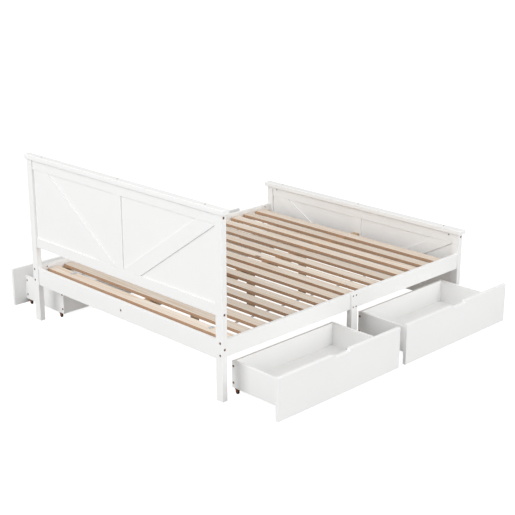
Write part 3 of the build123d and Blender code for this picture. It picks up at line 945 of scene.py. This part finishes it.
@dataclass
class Drawers:
    """Four loose drawers on small casters."""

    wheel_vertices: int = 40
    wheel_width: float = 8 * MM
    tread_round: float = 0.7 * MM
    tread_segments: int = 3
    rim: float = 3.2 * MM
    web_depth: float = 1.6 * MM
    hub: float = 3.4 * MM
    hub_share: float = 0.9

    def build(self) -> None:
        """Dress the drawers, and make their wheels."""
        paint = SatinPaint("satin_paint_on_drawer_boards", Grain.ALONG_Y, grain_depth_mm=0.025).build()
        ends = SatinPaint("satin_paint_on_drawer_sides", Grain.ALONG_X, grain_depth_mm=0.025).build()
        board = SatinPaint(
            "white_faced_fibreboard", Grain.ALONG_Y, grain_depth_mm=0.008, roughness=0.35
        ).build()
        steel = PlatedSteel("bronze_zinc_on_caster_forks").build()
        nylon = MouldedNylon("black_moulded_nylon").build()
        model = None
        for side in SIDES:
            for end in ENDS:
                name = f"drawer_{side}_{end}"
                dress([f"{name}_front", f"{name}_back"], paint)
                dress([f"{name}_sides"], ends)
                dress([f"{name}_base"], board)
                dress([f"{name}_casters"], steel)
                for row in ("front", "back"):
                    node = f"{name}_{row}_wheels"
                    low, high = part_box(node)
                    if model is None:
                        model = self.wheel_model((high.z - low.z) / 2)
                    middle = (low + high) / 2
                    places = [
                        Matrix.Translation((middle.x, y, middle.z))
                        for y in (low.y + self.wheel_width / 2, high.y - self.wheel_width / 2)
                    ]
                    wheels = copied(model, places, f"{name}_{row}_castor_wheels")
                    wheels.data.materials.clear()
                    wheels.data.materials.append(nylon)
                    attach(wheels, node)
                    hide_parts(node)
                    LOG.info("made %s", wheels.name)
        bpy.data.objects.remove(model)

    def wheel_model(self, radius: float) -> bpy.types.Object:
        """Model one wheel round the Y axis, with a rounded tread, a sunk web and a raised hub.

        Args:
            radius: The tread's radius.

        Returns:
            The wheel, centred on the origin.
        """
        deselect()
        bpy.ops.mesh.primitive_cylinder_add(
            vertices=self.wheel_vertices,
            radius=radius,
            depth=self.wheel_width,
            rotation=(math.pi / 2, 0, 0),
        )
        wheel = bpy.context.object
        settle(wheel)
        bpy.ops.object.mode_set(mode="EDIT")
        for way in (-1, 1):
            choose_faces(wheel, lambda centre, normal: normal.y * way > FACING)
            bpy.ops.mesh.inset(thickness=self.rim)
            bpy.ops.mesh.extrude_region_move(TRANSFORM_OT_translate={"value": (0, -way * self.web_depth, 0)})
            bpy.ops.mesh.inset(thickness=radius - self.rim - self.hub)
            bpy.ops.mesh.extrude_region_move(
                TRANSFORM_OT_translate={"value": (0, way * self.web_depth * self.hub_share, 0)}
            )
        bpy.ops.object.mode_set(mode="OBJECT")
        bevel = wheel.modifiers.new("tread", "BEVEL")
        bevel.width = self.tread_round
        bevel.segments = self.tread_segments
        bevel.limit_method = "ANGLE"
        finish_modifiers(wheel)
        smooth(wheel)
        return wheel


@dataclass
class Hardware:
    """Bolts, barrel nuts and screws."""

    def build(self) -> None:
        """Plate the fasteners."""
        steel = PlatedSteel("dark_bronze_zinc_fasteners").build()
        dress(["frame_bolts", "barrel_nuts", "wood_screws"], steel)
        dress([f"drawer_{side}_{end}_fasteners" for side in SIDES for end in ENDS], steel)


@dataclass
class Studio:
    """White sweep, soft dome of light and the camera."""

    eye: tuple[float, float, float] = (-4.8957, 4.7947, 2.6406)
    azimuth: float = 225.246
    elevation: float = 18.426
    lens_mm: float = 81.6
    sensor_mm: float = 36.0
    view_reach: float = 200.0
    floor_size: float = 80.0
    lamp_size: float = 6.0
    lamp_aim: tuple[float, float, float] = (0.0, 0.0, 0.3)
    horizon_level: float = 1.0
    horizon_rise: float = 0.3
    dome_level: float = 0.79
    dome_lean: tuple[float, float, float] = (-0.05, 0.06, -0.15)

    def build(self) -> None:
        """Make the floor, the lights and the camera."""
        scene = bpy.context.scene
        scene.view_settings.view_transform = "Standard"
        deselect()
        bpy.ops.mesh.primitive_plane_add(size=self.floor_size)
        floor = bpy.context.object
        floor.name = "studio_floor"
        floor.data.materials.append(PaleFloor().build())
        world = bpy.data.worlds.new("studio_dome")
        world.use_nodes = True
        tree = world.node_tree
        tree.nodes.clear()
        ray = add_node(tree, "ShaderNodeTexCoord")
        apart = add_node(tree, "ShaderNodeSeparateXYZ", {0: ray.outputs["Generated"]})
        rise = add_node(
            tree,
            "ShaderNodeMapRange",
            {"Value": apart.outputs[2], "From Min": 0.0, "From Max": self.horizon_rise},
        )
        lean = add_node(
            tree,
            "ShaderNodeVectorMath",
            {0: ray.outputs["Generated"], 1: self.dome_lean},
            operation="DOT_PRODUCT",
        )
        dome = add_node(
            tree, "ShaderNodeMath", {0: lean.outputs["Value"], 1: self.dome_level}, operation="ADD"
        )
        level = add_node(
            tree, "ShaderNodeMix", {0: rise.outputs[0], 2: self.horizon_level, 3: dome.outputs[0]}
        )
        glow = add_node(
            tree, "ShaderNodeBackground", {"Color": linear("FFFFFF"), "Strength": level.outputs[0]}
        )
        add_node(tree, "ShaderNodeOutputWorld", {"Surface": glow.outputs[0]})
        scene.world = world
        self.lamp("head_side_softbox", place=(1.0, 9.5, 6.0), power=440.0)
        self.lamp("left_side_softbox", place=(-9.5, -1.0, 5.0), power=350.0)
        self.make_camera()

    def lamp(self, name: str, place: tuple[float, float, float], power: float) -> None:
        """Hang a square soft light that looks at the middle of the bed.

        Args:
            name: Its name.
            place: Where it hangs.
            power: Its power in watts.
        """
        light = bpy.data.lights.new(name, "AREA")
        light.size = self.lamp_size
        light.energy = power
        lamp = bpy.data.objects.new(name, light)
        lamp.location = place
        lamp.rotation_mode = "QUATERNION"
        aim = Vector(self.lamp_aim) - Vector(place)
        lamp.rotation_quaternion = aim.to_track_quat("-Z", "Y")
        bpy.context.scene.collection.objects.link(lamp)

    def make_camera(self) -> None:
        """Put the camera at eye height, off the head end's left corner."""
        turn, rise = math.radians(self.azimuth), math.radians(self.elevation)
        back = Vector((math.sin(turn) * math.cos(rise), -math.cos(turn) * math.cos(rise), math.sin(rise)))
        camera = bpy.data.cameras.new("camera")
        camera.lens = self.lens_mm
        camera.sensor_width = self.sensor_mm
        camera.clip_end = self.view_reach
        stand = bpy.data.objects.new("camera", camera)
        stand.location = self.eye
        stand.rotation_mode = "QUATERNION"
        stand.rotation_quaternion = (-back).to_track_quat("-Z", "Y")
        bpy.context.scene.collection.objects.link(stand)
        bpy.context.scene.camera = stand


def main() -> None:
    """Build every sub-assembly in order."""
    logging.basicConfig(level=logging.INFO, format="%(name)s: %(message)s")
    for part in (Studio(), PaintedFrame(), SlatBase(), Hardware(), Drawers()):
        part.build()
        LOG.info("finished %s", type(part).__name__)


if __name__ == "__main__":
    main()
